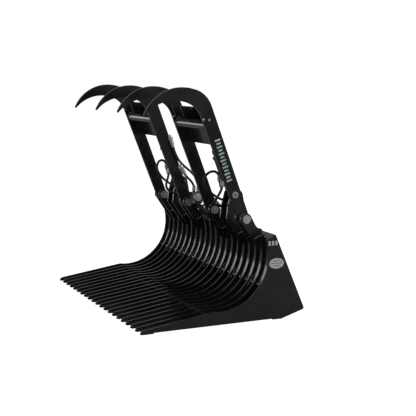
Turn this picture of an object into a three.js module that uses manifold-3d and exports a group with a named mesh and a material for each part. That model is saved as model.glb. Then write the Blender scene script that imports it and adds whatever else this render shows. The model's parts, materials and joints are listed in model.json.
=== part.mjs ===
// Skeleton rock bucket with two hydraulic grapple lids, for a skid steer loader.
// Millimetres. X runs across the bucket, Y from the tine tips back to the coupler, Z is up.
// Side views are drawn in the (y, z) plane, with y = 0 at the tine tips and z = 0 at the ground.
import * as THREE from 'three';
import { mergeVertices } from 'three/addons/utils/BufferGeometryUtils.js';
import Module from 'manifold-3d';

const wasm = await Module();
wasm.setup();
const degrees = THREE.MathUtils.degToRad;

// ---- Driving dimensions -------------------------------------------------------------------
const WIDTH = 1676;             // over the side plates, 66 in
const TINE_COUNT = 19;          // tines between the two side plates
const PLATE = 12.7;             // tines, side plates and brackets, 1/2 in
const PITCH = (WIDTH - PLATE) / (TINE_COUNT + 1);
const GAP = 0.3;                // clearance between pieces that are welded together
const ROUND = 20;               // sides of a pin, a bore or a boss

// Floor and back curve, shared by tines, side plates and back sheet.
const NOSE = { top: 28, length: 82 };
const UNDERSIDE = 6;            // tine underside, above the nose's wear face
const FLOOR_END = 473;          // where the straight floor meets the back curve
const CURVE = { y: 528, z: 410, r: 322 };
const TINE_DEPTH = 82;          // radial depth of a tine below the back sheet
const SHEET = { step: 15.7, thick: 6.35, start: degrees(-33.4) };
const CROSS_TUBE = { y: 452, z: 51, r: 24, wall: 5 };

// The back leans forward. On it a point is (t, n): t square to the slope, n up along it.
const LEAN = degrees(23.3);
const SLOPE_T = 1041.3;         // rear edge of the side plates
const SLOPE_TOP = 138;          // top of side plates, tines and beam
const BEAM = { t: 990.5, depth: 50.8, height: 101.6, wall: 6.35 };
const BEAM_LOW = SLOPE_TOP - BEAM.height;
const REAR_CORNER = { y: 1109, z: 58 };
const FACE = { width: 1143, thick: 9.5, low: -325 };
const FACE_T = SLOPE_T + GAP;   // front of the coupler's face plate
const BACK_T = FACE_T + FACE.thick;

// Grapple lids.
const PIVOT = { y: 755, z: 628 };
const CLAW_X = [-678, -213, 213, 678];
const CLAW_PLATE = 19;
const HUB = { r: 39, boss: 30, half: 31.2 };
const PIN_R = 19;
const CLEARANCE = 0.4;          // running fit of a pin in its bore
const EAR_X = 38;               // bracket ears, either side of a claw
const EAR_R = 38;
const LID_TUBE = { y: 523, z: 1213, r: 30.2, wall: 5 };

// Cylinders, at the middle of each lid.
const LID_X = (CLAW_X[2] + CLAW_X[3]) / 2;
const BASE_PIN = { y: 800, z: 745, r: 15.9 };
const ROD_PIN = { y: 650, z: 1140, r: 12.7 };
const LUG_X = 47;               // base lugs, either side of the cylinder
const ROD_LUG_X = 32;           // lid lugs, either side of the rod eye
const BARREL = { r: 36.5, from: 20, to: 322, bore: 30, base: 75 };
const GLAND = { r: 40, length: 24 };
const BASE_TUBE = { r: 30, length: 76 };
const ROD = { r: 19, from: 100, piston: 29.6 };
const ROD_EYE = { r: 28, length: 50 };
const HOSE_R = 8.5;

// ---- Materials ----------------------------------------------------------------------------
const finish = (color, roughness, metalness) => new THREE.MeshStandardMaterial({ color, roughness, metalness });
const paint = () => finish(0x151517, 0.3, 0);
const zinc = () => finish(0xb9c6c8, 0.3, 1);
const chrome = () => finish(0xd6d8da, 0.12, 1);
const rubber = () => finish(0x121212, 0.75, 0);

// ---- Small helpers ------------------------------------------------------------------------
const bucket = new THREE.Group();
const sideToWorld = new THREE.Matrix4().makeBasis(
  new THREE.Vector3(0, 1, 0), new THREE.Vector3(0, 0, 1), new THREE.Vector3(1, 0, 0));

function add(name, geometry, material, parent = bucket) {
  const mesh = new THREE.Mesh(geometry, material);
  mesh.name = name;
  parent.add(mesh);
  return mesh;
}

// A flat plate: a side view given a thickness along X, centred on x.
function plate(shape, thickness, x, curveSegments = 12) {
  const solid = new THREE.ExtrudeGeometry(shape, { depth: thickness, bevelEnabled: false, curveSegments });
  solid.translate(0, 0, x - thickness / 2);
  return solid.applyMatrix4(sideToWorld);
}

function polygon(points) {
  return new THREE.Shape(points.map(([y, z]) => new THREE.Vector2(y, z)));
}

function onCircle(centre, radius, angle) {
  return [centre.y + radius * Math.cos(angle), centre.z + radius * Math.sin(angle)];
}

function circle(at, radius, sides) {
  const turn = (index) => new THREE.Vector2(...onCircle(at, radius, (index * Math.PI * 2) / sides));
  return Array.from({ length: sides }, (_, index) => turn(index));
}

function hole(at, radius, sides = ROUND) {
  return new THREE.Path(circle(at, radius, sides));
}

// A round bar along X between two planes, solid or with a bore.
function bar(at, radius, from, to, bore = 0, sides = ROUND) {
  const shape = new THREE.Shape(circle(at, radius, sides));
  if (bore > 0) shape.holes.push(hole(at, bore, sides));
  return plate(shape, to - from, (from + to) / 2);
}

// A point given on the leaning back.
function onSlope(t, n) {
  return [t * Math.cos(LEAN) - n * Math.sin(LEAN), t * Math.sin(LEAN) + n * Math.cos(LEAN)];
}

// The angle at which a circle about the back curve's centre reaches height n on the slope.
function curveAngle(radius, n) {
  const centreN = CURVE.z * Math.cos(LEAN) - CURVE.y * Math.sin(LEAN);
  return Math.asin((n - centreN) / radius) + LEAN;
}

function toSolid(geometry) {
  const bare = geometry.clone();
  bare.deleteAttribute('normal');
  bare.deleteAttribute('uv');
  const merged = mergeVertices(bare, 1e-4);
  return new wasm.Manifold(new wasm.Mesh({
    numProp: 3,
    vertProperties: new Float32Array(merged.attributes.position.array),
    triVerts: new Uint32Array(merged.index.array),
  }));
}

function toGeometry(solid) {
  const mesh = solid.getMesh();
  const geometry = new THREE.BufferGeometry();
  geometry.setAttribute('position', new THREE.BufferAttribute(new Float32Array(mesh.vertProperties), 3));
  geometry.setIndex(new THREE.BufferAttribute(new Uint32Array(mesh.triVerts), 1));
  geometry.computeVertexNormals();
  return geometry;
}

// Pieces welded into one body, with cuts taken from it.
function weld(pieces, cuts = []) {
  let solid = toSolid(pieces[0]);
  for (const piece of pieces.slice(1)) solid = solid.add(toSolid(piece));
  for (const cut of cuts) solid = solid.subtract(toSolid(cut));
  return toGeometry(solid);
}

// ---- Bucket: tines, side plates, back sheet, beam and floor tube --------------------------
const floorAngle = -Math.acos((FLOOR_END - CURVE.y) / CURVE.r);
const topAngle = curveAngle(CURVE.r, SLOPE_TOP);

// The nose, the straight floor and the back curve, up to the top.
function startProfile() {
  const shape = new THREE.Shape();
  shape.moveTo(NOSE.length, 0);
  shape.lineTo(14, 0);
  shape.quadraticCurveTo(0, 1, 0, 8);
  shape.quadraticCurveTo(2, 24, 30, NOSE.top);
  shape.absarc(CURVE.y, CURVE.z, CURVE.r, floorAngle, topAngle, false);
  return shape;
}

function tineShape() {
  const seat = CURVE.r + SHEET.step;
  const heel = CURVE.r + TINE_DEPTH;
  const seatTop = curveAngle(seat, SLOPE_TOP);
  const shape = startProfile();
  shape.absarc(CURVE.y, CURVE.z, seat, seatTop, SHEET.start, true);
  shape.absarc(CURVE.y, CURVE.z, heel, SHEET.start, -Math.PI / 2, true);
  shape.lineTo(NOSE.length + 6, UNDERSIDE);
  shape.holes.push(hole(CROSS_TUBE, CROSS_TUBE.r + GAP, 12));
  return shape;
}

const tine = tineShape();
for (let index = 1; index <= TINE_COUNT; index += 1) {
  const x = (index - (TINE_COUNT + 1) / 2) * PITCH;
  add(`tine_${String(index).padStart(2, '0')}`, plate(tine, PLATE, x, 7), paint());
}

function sidePlateShape() {
  const shape = startProfile();
  shape.lineTo(...onSlope(SLOPE_T, SLOPE_TOP));
  shape.lineTo(REAR_CORNER.y, REAR_CORNER.z);
  shape.lineTo(REAR_CORNER.y - 5, REAR_CORNER.z - 12);
  shape.lineTo(946, 0);
  shape.lineTo(886, 0);
  shape.lineTo(880, UNDERSIDE);
  shape.lineTo(NOSE.length + 6, UNDERSIDE);
  return shape;
}

for (const [name, side] of [['side_plate_left', -1], ['side_plate_right', 1]]) {
  add(name, plate(sidePlateShape(), PLATE, side * (WIDTH - PLATE) / 2, 10), paint());
}
const INSIDE = WIDTH - 2 * PLATE - 2 * GAP;

function backSheetShape() {
  const front = CURVE.r + SHEET.step + GAP;
  const back = front + SHEET.thick;
  const shape = new THREE.Shape();
  shape.absarc(CURVE.y, CURVE.z, back, SHEET.start, curveAngle(back, SLOPE_TOP), false);
  shape.absarc(CURVE.y, CURVE.z, front, curveAngle(front, SLOPE_TOP), SHEET.start, true);
  return shape;
}
add('back_sheet', plate(backSheetShape(), INSIDE, 0, 10), paint());

function beamShape() {
  const corners = (inset) => [
    onSlope(BEAM.t + inset, BEAM_LOW + inset), onSlope(SLOPE_T - inset, BEAM_LOW + inset),
    onSlope(SLOPE_T - inset, SLOPE_TOP - inset), onSlope(BEAM.t + inset, SLOPE_TOP - inset)];
  const shape = polygon(corners(0));
  shape.holes.push(polygon(corners(BEAM.wall)));
  return shape;
}
add('top_beam', plate(beamShape(), INSIDE, 0), paint());
add('floor_cross_tube', bar(
  CROSS_TUBE, CROSS_TUBE.r, -INSIDE / 2, INSIDE / 2, CROSS_TUBE.r - CROSS_TUBE.wall, 12), paint());

// ---- Coupler frame: face plate, hook, slotted foot, sill and stiffening ribs --------------
const HOOK = { reach: 44, drop: 58, thick: 12.7 };
const FOOT = { reach: 62, rise: 26, thick: 12.7, slotX: 505, slotWidth: 64, slotDepth: 22 };
const LAND = { reach: 3, relief: 0.05 };   // where hook and foot leave the face, so a plate lies flat on it
const RIB_PLACES = [-8, -5, -3, 0, 3, 5, 8];

function slopePlate(corners, width, x = 0) {
  return plate(polygon(corners.map(([t, n]) => onSlope(t, n))), width, x);
}

// A rib from the back sheet and a tine's heel to the face plate.
function ribShape() {
  const seat = CURVE.r + SHEET.step + SHEET.thick + 2 * GAP;
  const heel = CURVE.r + TINE_DEPTH + GAP;
  const top = BEAM_LOW - GAP;
  const step = SHEET.start + 0.02;
  const shape = new THREE.Shape();
  shape.moveTo(...onSlope(SLOPE_T + 1, top));
  shape.absarc(CURVE.y, CURVE.z, seat, curveAngle(seat, top), step, true);
  shape.absarc(CURVE.y, CURVE.z, heel, step, degrees(-62), true);
  shape.lineTo(...onSlope(SLOPE_T - 4, FACE.low - 58));
  shape.lineTo(...onSlope(SLOPE_T + 1, FACE.low - 50));
  return shape;
}

function couplerFrame() {
  const face = slopePlate([
    [FACE_T, FACE.low - 12], [BACK_T, FACE.low - 12], [BACK_T, SLOPE_TOP], [FACE_T, SLOPE_TOP]], FACE.width);
  const hook = slopePlate([
    [BACK_T - 1, SLOPE_TOP], [BACK_T - 1, SLOPE_TOP - HOOK.thick * 1.5],
    [BACK_T + LAND.reach, SLOPE_TOP - HOOK.thick * 1.5 + LAND.relief],
    [BACK_T + HOOK.reach - HOOK.thick, SLOPE_TOP - HOOK.drop - 6],
    [BACK_T + HOOK.reach, SLOPE_TOP - HOOK.drop]], FACE.width);
  const foot = slopePlate([
    [BACK_T - 1, FACE.low - FOOT.thick], [BACK_T + FOOT.reach, FACE.low + FOOT.rise - FOOT.thick],
    [BACK_T + FOOT.reach, FACE.low + FOOT.rise], [BACK_T + LAND.reach, FACE.low - LAND.relief],
    [BACK_T - 1, FACE.low]], FACE.width);
  const sill = slopePlate([
    [SLOPE_T - 14, FACE.low - 50], [SLOPE_T + 1.5, FACE.low - 50],
    [SLOPE_T + 1.5, FACE.low + 30], [SLOPE_T - 14, FACE.low + 30]], INSIDE);
  const cheeks = [-1, 1].map((side) => slopePlate([
    [BACK_T - 1, FACE.low - 2], [BACK_T + FOOT.reach - 8, FACE.low + FOOT.rise - 6],
    [BACK_T - 1, FACE.low + 105]], 10, side * (FACE.width / 2 - 5)));
  const ribs = RIB_PLACES.map((place) => plate(ribShape(), 9.5, place * PITCH, 5));
  const [slotY, slotZ] = onSlope(BACK_T + FOOT.reach * 0.58, FACE.low + 8);
  const slots = [-1, 1].map((side) => new THREE.BoxGeometry(FOOT.slotWidth, FOOT.slotDepth, 60)
    .rotateX(LEAN).translate(side * FOOT.slotX, slotY, slotZ));
  return weld([face, hook, foot, sill, ...cheeks, ...ribs], slots);
}
add('coupler_frame', couplerFrame(), paint());

// ---- Brackets that stand on the beam ------------------------------------------------------
const TOE = { y: 786, z: 432, gap: 1 };

// The lower part of every bracket: from its toe up the back curve, then rearwards over the beam.
function bracketFoot(shape, rearT) {
  const front = CURVE.r - TOE.gap;
  const low = Math.asin((TOE.z - CURVE.z - 8) / front);
  shape.moveTo(TOE.y, TOE.z);
  shape.absarc(CURVE.y, CURVE.z, front, low, curveAngle(front, SLOPE_TOP + GAP), false);
  shape.lineTo(...onSlope(rearT, SLOPE_TOP + GAP));
}

function earShape() {
  const shape = new THREE.Shape();
  bracketFoot(shape, 1018);
  shape.quadraticCurveTo(826, 566, 806, 613);
  shape.absarc(PIVOT.y, PIVOT.z, EAR_R, degrees(24), degrees(200), false);
  shape.holes.push(hole(PIVOT, PIN_R + CLEARANCE));
  return shape;
}

// Two ears with a low web across their feet.
function clawBracket(x) {
  const web = slopePlate([[1006, SLOPE_TOP + GAP], [1018, SLOPE_TOP + GAP], [1018, 172], [1006, 172]],
    EAR_X * 2, x);
  return weld([plate(earShape(), PLATE, x - EAR_X, 7), plate(earShape(), PLATE, x + EAR_X, 7), web]);
}

function lugShape() {
  const shape = new THREE.Shape();
  bracketFoot(shape, 1034);
  shape.lineTo(872, 600);
  shape.absarc(BASE_PIN.y, BASE_PIN.z, 44, degrees(14), degrees(176), false);
  shape.lineTo(737, 688);
  shape.lineTo(727, 598);
  shape.holes.push(hole(BASE_PIN, BASE_PIN.r + CLEARANCE));
  return shape;
}

function cylinderBracket(x) {
  const web = slopePlate([[1022, SLOPE_TOP + GAP], [1033, SLOPE_TOP + GAP], [1033, 196], [1022, 196]],
    LUG_X * 2, x);
  return weld([plate(lugShape(), PLATE, x - LUG_X, 7), plate(lugShape(), PLATE, x + LUG_X, 7), web]);
}

const CLAW_NAMES = ['left_outer', 'left_inner', 'right_inner', 'right_outer'];
CLAW_X.forEach((x, index) => add(`bracket_${CLAW_NAMES[index]}`, clawBracket(x), paint()));
for (const [side, x] of [['left', -LID_X], ['right', LID_X]]) {
  add(`bracket_${side}_cylinder`, cylinderBracket(x), paint());
}

// A headed pin through two ears, with a keeper ring on its far end.
function headedPin(at, radius, x, half, head) {
  const face = half + PLATE / 2 + GAP;
  return weld([
    bar(at, radius, x - face - 14, x + face + 4),
    bar(at, head, x + face, x + face + 9),
    bar(at, radius + 7, x - face - 10, x - face)]);
}
CLAW_X.forEach((x, index) => {
  add(`pin_${CLAW_NAMES[index]}`, headedPin(PIVOT, PIN_R, x, EAR_X, 27), zinc());
});
for (const [side, x] of [['left', -LID_X], ['right', LID_X]]) {
  add(`pin_${side}_cylinder`, headedPin(BASE_PIN, BASE_PIN.r, x, LUG_X, 24), zinc());
}

// ---- Grapple lids -------------------------------------------------------------------------
const HOOK_OUT = [{ y: 375, z: 1271, r: 170 }, { y: 340, z: 1176, r: 270 }];
const HOOK_IN = [{ y: 290, z: 1115, r: 252 }, { y: 340, z: 1225, r: 131.2 }];
const EDGE = { front: degrees(201.5), back: degrees(20.6) };

function clawShape() {
  const [outArm, outTip] = HOOK_OUT;
  const [inTip, inArm] = HOOK_IN;
  const blend = degrees(65.6);
  const shape = new THREE.Shape();
  shape.absarc(inTip.y, inTip.z, inTip.r, degrees(139), blend, true);
  shape.absarc(inArm.y, inArm.z, inArm.r, blend, EDGE.front - Math.PI, true);
  shape.absarc(PIVOT.y, PIVOT.z, HUB.r, EDGE.front, EDGE.back + Math.PI * 2, false);
  shape.absarc(outArm.y, outArm.z, outArm.r, EDGE.back, degrees(69.8), false);
  shape.absarc(outTip.y, outTip.z, outTip.r, degrees(69.8), degrees(155.5), false);
  shape.holes.push(hole(PIVOT, PIN_R + CLEARANCE));
  return shape;
}

function claw(x) {
  const boss = bar(PIVOT, HUB.boss, x - HUB.half, x + HUB.half, PIN_R + CLEARANCE);
  return weld([plate(clawShape(), CLAW_PLATE, x, 9), boss]);
}
CLAW_X.forEach((x, index) => add(`claw_${CLAW_NAMES[index]}`, claw(x), paint()));

// The arm's own directions: up along its back edge, and square to it, rearwards.
const ALONG = new THREE.Vector2(Math.cos(EDGE.back + Math.PI / 2), Math.sin(EDGE.back + Math.PI / 2));
const REARWARD = new THREE.Vector2(Math.cos(EDGE.back), Math.sin(EDGE.back));

// A point measured from the pivot: up the arm, and rearwards from its back edge.
function onArm(up, rear) {
  const square = HUB.r + rear;
  return [PIVOT.y + ALONG.x * up + REARWARD.x * square, PIVOT.z + ALONG.y * up + REARWARD.y * square];
}

const LID_PLATE = { low: 474, high: 726, inset: 4, thick: 8 };
const ROD_PIN_UP = (ROD_PIN.y - PIVOT.y) * ALONG.x + (ROD_PIN.z - PIVOT.z) * ALONG.y;

function rodLugShape() {
  const r = 30;
  const back = -LID_PLATE.inset - 2;
  const shape = new THREE.Shape();
  shape.moveTo(...onArm(ROD_PIN_UP - 62, back));
  shape.absarc(ROD_PIN.y, ROD_PIN.z, r, EDGE.back - degrees(70), EDGE.back + degrees(70), false);
  shape.lineTo(...onArm(ROD_PIN_UP + 62, back));
  return shape;
}

// The plate between two claws, with the rod's lugs behind it and two fins in front.
function lidPlate(x) {
  const { low, high, inset, thick } = LID_PLATE;
  const width = CLAW_X[3] - CLAW_X[2] - CLAW_PLATE - 2 * GAP;
  const sheet = plate(polygon([
    onArm(low, -inset - thick), onArm(low, -inset), onArm(high, -inset), onArm(high, -inset - thick)]), width, x);
  const fin = polygon([onArm(640, -inset - 2), onArm(700, -inset - 2), [398, 1330], [424, 1262], [500, 1250]]);
  const fins = [-66, 66].map((offset) => plate(fin, 9.5, x + offset));
  const lugs = [-ROD_LUG_X, ROD_LUG_X].map((offset) => plate(rodLugShape(), PLATE, x + offset, 6));
  const seat = bar(ROD_PIN, ROD_PIN.r + CLEARANCE, x + ROD_LUG_X - 20, x + ROD_LUG_X + 20);
  const boss = bar(ROD_PIN, 20, x - ROD_LUG_X - PLATE / 2 - 6, x - ROD_LUG_X);
  return weld([sheet, ...fins, ...lugs, boss], [seat]);
}

// ---- Cylinders ----------------------------------------------------------------------------
const PORT = { up: 88, x: -16, reach: 52 };
const PIPE = { from: 120, to: 281, x: 16, reach: 46, r: 6.5 };
const stroke = new THREE.Vector2(ROD_PIN.y - BASE_PIN.y, ROD_PIN.z - BASE_PIN.z);
const PIN_TO_PIN = stroke.length();

// A round bar along the cylinder's axis, at (x, z) beside it.
function upright(radius, from, to, x, z, segments = 12) {
  return new THREE.CylinderGeometry(radius, radius, to - from, segments).translate(x, (from + to) / 2, z);
}

// A round boss square to the cylinder's axis, on its front.
function boss(radius, x, y, from, to) {
  return new THREE.CylinderGeometry(radius, radius, to - from, 12).rotateX(Math.PI / 2)
    .translate(x, y, (from + to) / 2);
}

function crossBar(radius, length, y) {
  return new THREE.CylinderGeometry(radius, radius, length, ROUND).rotateZ(Math.PI / 2).translate(0, y, 0);
}

function barrelGeometry() {
  const { r, from, to, bore, base } = BARREL;
  const tube = new THREE.LatheGeometry([
    [0, from], [r, from], [r, to - GLAND.length], [GLAND.r, to - GLAND.length], [GLAND.r, to],
    [ROD.r + CLEARANCE, to], [ROD.r + CLEARANCE, to - GLAND.length + 4], [bore, to - GLAND.length + 4],
    [bore, base], [0, base]].map(([radius, y]) => new THREE.Vector2(radius, y)), 24);
  const pieces = [
    tube, crossBar(BASE_TUBE.r, BASE_TUBE.length, 0),
    boss(13, PORT.x, PORT.up, r - 6, PORT.reach + 9), upright(9, PORT.up, PORT.up + 38, PORT.x, PORT.reach),
    upright(PIPE.r, PIPE.from, PIPE.to, PIPE.x, PIPE.reach), boss(12, PIPE.x, PIPE.to, r - 6, PIPE.reach + 8),
    boss(9, PIPE.x, PIPE.from + 14, r - 6, PIPE.reach)];
  return weld(pieces, [crossBar(BASE_PIN.r + CLEARANCE, BASE_TUBE.length + 2, 0)]);
}

function rodGeometry() {
  return weld([
    upright(ROD.r, ROD.from, PIN_TO_PIN, 0, 0, 24), upright(ROD.piston, ROD.from, ROD.from + 18, 0, 0, 24),
    crossBar(ROD_EYE.r, ROD_EYE.length, PIN_TO_PIN)]);
}

for (const [side, x] of [['left', -LID_X], ['right', LID_X]]) {
  const inner = x - (CLAW_X[3] - CLAW_X[2]) / 2 + CLAW_PLATE / 2 + GAP;
  const outer = 2 * x - inner;
  add(`${side}_lid_tube`, bar(LID_TUBE, LID_TUBE.r, inner, outer, LID_TUBE.r - LID_TUBE.wall), paint());
  add(`${side}_lid_plate`, lidPlate(x), paint());
  const face = ROD_LUG_X + PLATE / 2 + GAP;
  add(`${side}_rod_pin`, weld([
    bar(ROD_PIN, ROD_PIN.r, x + ROD_EYE.length / 2 + 0.8, x + face + 2),
    bar(ROD_PIN, 20, x + face, x + face + 8)]), zinc());

  const cylinder = new THREE.Group();
  cylinder.position.set(x, BASE_PIN.y, BASE_PIN.z);
  cylinder.rotation.x = stroke.angle();
  bucket.add(cylinder);
  add(`${side}_barrel`, barrelGeometry(), paint(), cylinder);
  add(`${side}_rod`, rodGeometry(), chrome(), cylinder);
}

// ---- Hydraulic block and hoses ------------------------------------------------------------
const BLOCK = { x: -96, y: 778, z: 668, width: 84, depth: 62, height: 76 };
const NIPPLE = 14;              // how far a hose nipple stands out of the block
const REAR_NIPPLES = [[-70, 690], [-70, 655], [-122, 690], [-122, 655]];
const TOP_NIPPLES = [[-78, 786], [-114, 770]];

function hydraulicBlock() {
  const { x, y, z, width, depth, height } = BLOCK;
  const body = new THREE.BoxGeometry(width, depth, height).translate(x, y, z);
  const [footY, footZ] = onSlope(1000, SLOPE_TOP + GAP);
  const [heelY, heelZ] = onSlope(1034, SLOPE_TOP + GAP);
  const post = plate(polygon([
    [y - 24, z - height / 2 + 2], [footY, footZ], [heelY, heelZ], [y + 26, z - height / 2 + 2]]), PLATE, x);
  const nipple = () => new THREE.CylinderGeometry(10, 10, NIPPLE + 2, 12);
  const rear = REAR_NIPPLES.map(([nippleX, nippleZ]) =>
    nipple().translate(nippleX, y + depth / 2 + NIPPLE / 2 - 1, nippleZ));
  const top = TOP_NIPPLES.map(([nippleX, nippleY]) =>
    nipple().rotateX(Math.PI / 2).translate(nippleX, nippleY, z + height / 2 + NIPPLE / 2 - 1));
  return weld([body, post, ...rear, ...top]);
}
add('hydraulic_block', hydraulicBlock(), paint());

function hose(points) {
  const path = new THREE.CatmullRomCurve3(points.map((point) => new THREE.Vector3(...point)));
  const section = new THREE.Shape(circle({ y: 0, z: 0 }, HOSE_R, 8));
  const steps = Math.round(path.getLength() / (HOSE_R * 4.6));
  return new THREE.ExtrudeGeometry(section, { steps, extrudePath: path, bevelEnabled: false });
}

// Each route runs from the block, behind the brackets and round to a port on a cylinder.
const BASE_HOSE_RIGHT = [
  [-70, 823.4, 690], [-70, 850, 690], [-52, 888, 664], [-10, 908, 630], [60, 914, 600], [190, 900, 582],
  [290, 896, 580], [345, 868, 622], [364, 808, 682], [372, 712, 732], [384, 640, 790], [398, 614, 848],
  [414, 632, 891], [427, 672, 904], [429.5, 702, 882], [429.5, 706.3, 848]];
const ROD_HOSE_RIGHT = [
  [-70, 823.4, 655], [-70, 850, 655], [-54, 890, 626], [-10, 914, 592], [60, 920, 568], [190, 918, 558],
  [300, 914, 561], [352, 890, 590], [372, 830, 645], [374, 740, 668], [392, 690, 692], [436, 684, 728],
  [458, 704, 778], [461.5, 713, 812], [461.5, 714.5, 838]];
const BASE_HOSE_LEFT = [
  [-122, 823.4, 690], [-122, 850, 690], [-138, 886, 664], [-170, 906, 630], [-215, 908, 600], [-290, 898, 580],
  [-345, 868, 622], [-364, 808, 682], [-372, 712, 732], [-388, 640, 790], [-408, 614, 848], [-434, 632, 891],
  [-456, 672, 904], [-461.5, 702, 882], [-461.5, 706.3, 848]];
const ROD_HOSE_LEFT = [
  [-122, 823.4, 655], [-122, 850, 655], [-136, 888, 626], [-168, 912, 592], [-215, 920, 568], [-300, 914, 561],
  [-352, 890, 590], [-372, 830, 645], [-374, 740, 668], [-388, 690, 692], [-412, 684, 728], [-427, 704, 778],
  [-429.5, 713, 812], [-429.5, 714.5, 838]];
const SUPPLY_HOSE_LONG = [
  [-78, 786, 720.8], [-78, 786, 745], [-86, 780, 795], [-118, 752, 845], [-152, 718, 882], [-174, 686, 922],
  [-183, 658, 978], [-184, 647, 1012], [-185, 636, 1046]];
const SUPPLY_HOSE_SHORT = [
  [-114, 770, 720.8], [-114, 770, 745], [-110, 745, 785], [-105, 716, 812], [-102, 700, 832], [-100, 688, 850]];
const HOSES = {
  base_hose_right: BASE_HOSE_RIGHT,
  rod_hose_right: ROD_HOSE_RIGHT,
  base_hose_left: BASE_HOSE_LEFT,
  rod_hose_left: ROD_HOSE_LEFT,
  supply_hose_long: SUPPLY_HOSE_LONG,
  supply_hose_short: SUPPLY_HOSE_SHORT,
};
for (const [name, route] of Object.entries(HOSES)) add(name, hose(route), rubber());

// A quick coupler that carries on from a hose's end: nut, neck, sliding collar and mouth.
function quickCoupler(name, route) {
  const [before, end] = route.slice(-2).map((point) => new THREE.Vector3(...point));
  const profile = [
    [0, 0.6], [15, 0.6], [15, 15], [11, 17], [11, 22], [17, 24], [17, 50], [13, 52], [13, 60], [0, 60]];
  const lathe = new THREE.LatheGeometry(profile.map(([r, up]) => new THREE.Vector2(r, up)), 16);
  const coupler = add(name, lathe, zinc());
  coupler.position.copy(end);
  coupler.quaternion.setFromUnitVectors(new THREE.Vector3(0, 1, 0), end.clone().sub(before).normalize());
}
quickCoupler('quick_coupler_long', SUPPLY_HOSE_LONG);
quickCoupler('quick_coupler_short', SUPPLY_HOSE_SHORT);

// ---- Origin: the middle of the footprint, on the ground -----------------------------------
const box = new THREE.Box3().setFromObject(bucket);
bucket.position.y = -(box.min.y + box.max.y) / 2;

export default bucket;
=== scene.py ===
"""Skeleton rock bucket with two hydraulic grapple lids: finishes, welds, fittings and studio."""

import json
import logging
import math
from dataclasses import dataclass
from enum import Enum

import bmesh
import bpy
from mathutils import Matrix, Vector
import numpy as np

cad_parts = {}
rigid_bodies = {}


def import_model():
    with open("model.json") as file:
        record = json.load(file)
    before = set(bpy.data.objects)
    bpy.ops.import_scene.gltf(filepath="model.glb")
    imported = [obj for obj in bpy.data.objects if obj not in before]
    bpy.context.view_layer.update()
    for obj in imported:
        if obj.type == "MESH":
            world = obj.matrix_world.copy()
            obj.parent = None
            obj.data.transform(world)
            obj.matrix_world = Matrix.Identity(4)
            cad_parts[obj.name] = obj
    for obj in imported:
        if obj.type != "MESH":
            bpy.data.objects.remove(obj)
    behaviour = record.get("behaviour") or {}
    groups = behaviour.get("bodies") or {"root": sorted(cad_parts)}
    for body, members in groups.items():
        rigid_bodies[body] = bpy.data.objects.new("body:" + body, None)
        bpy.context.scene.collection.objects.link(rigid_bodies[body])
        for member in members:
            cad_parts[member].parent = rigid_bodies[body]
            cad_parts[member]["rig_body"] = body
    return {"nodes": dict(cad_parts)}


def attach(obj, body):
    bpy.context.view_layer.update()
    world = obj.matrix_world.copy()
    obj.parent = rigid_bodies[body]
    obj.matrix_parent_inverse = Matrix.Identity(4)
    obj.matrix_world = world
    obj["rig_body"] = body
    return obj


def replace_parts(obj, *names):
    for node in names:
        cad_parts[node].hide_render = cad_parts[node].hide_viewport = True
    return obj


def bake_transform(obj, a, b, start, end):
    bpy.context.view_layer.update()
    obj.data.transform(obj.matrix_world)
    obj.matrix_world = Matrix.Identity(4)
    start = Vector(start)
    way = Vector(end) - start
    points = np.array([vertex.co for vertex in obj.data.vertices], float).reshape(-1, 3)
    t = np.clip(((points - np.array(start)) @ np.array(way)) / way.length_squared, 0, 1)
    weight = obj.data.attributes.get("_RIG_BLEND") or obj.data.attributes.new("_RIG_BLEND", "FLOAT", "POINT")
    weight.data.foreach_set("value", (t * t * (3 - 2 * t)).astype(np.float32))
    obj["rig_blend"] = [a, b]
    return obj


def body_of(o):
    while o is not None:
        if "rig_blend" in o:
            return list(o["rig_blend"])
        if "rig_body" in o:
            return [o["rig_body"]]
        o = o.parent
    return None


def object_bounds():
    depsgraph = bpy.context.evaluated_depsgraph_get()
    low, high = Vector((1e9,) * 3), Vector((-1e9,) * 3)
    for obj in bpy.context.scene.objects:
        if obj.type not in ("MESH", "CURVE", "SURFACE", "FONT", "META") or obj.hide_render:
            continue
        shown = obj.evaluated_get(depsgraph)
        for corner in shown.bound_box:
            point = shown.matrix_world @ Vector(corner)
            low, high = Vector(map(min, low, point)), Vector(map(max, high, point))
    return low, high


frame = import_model()
CAD_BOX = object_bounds()

log = logging.getLogger("rock_bucket")
MM = 0.001
DEPTH_ORIGIN = 572.807
PITCH = 83.165
LEAN = math.radians(23.3)
SMOOTH_STEPS = 24
SPIN_STEPS = 36
MERGE_DISTANCE = 2e-6
FLAT_ANGLE = math.radians(0.4)
BEVEL_ANGLE = math.radians(38)
CLAW_X = {"left_outer": -678.0, "left_inner": -213.0, "right_inner": 213.0, "right_outer": 678.0}
PIVOT = (755.0, 628.0)
BASE_PIN = (800.0, 745.0)
ROD_PIN = (650.0, 1140.0)
LID_TUBE = (523.0, 1213.0)
LID_X = 445.5

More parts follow.
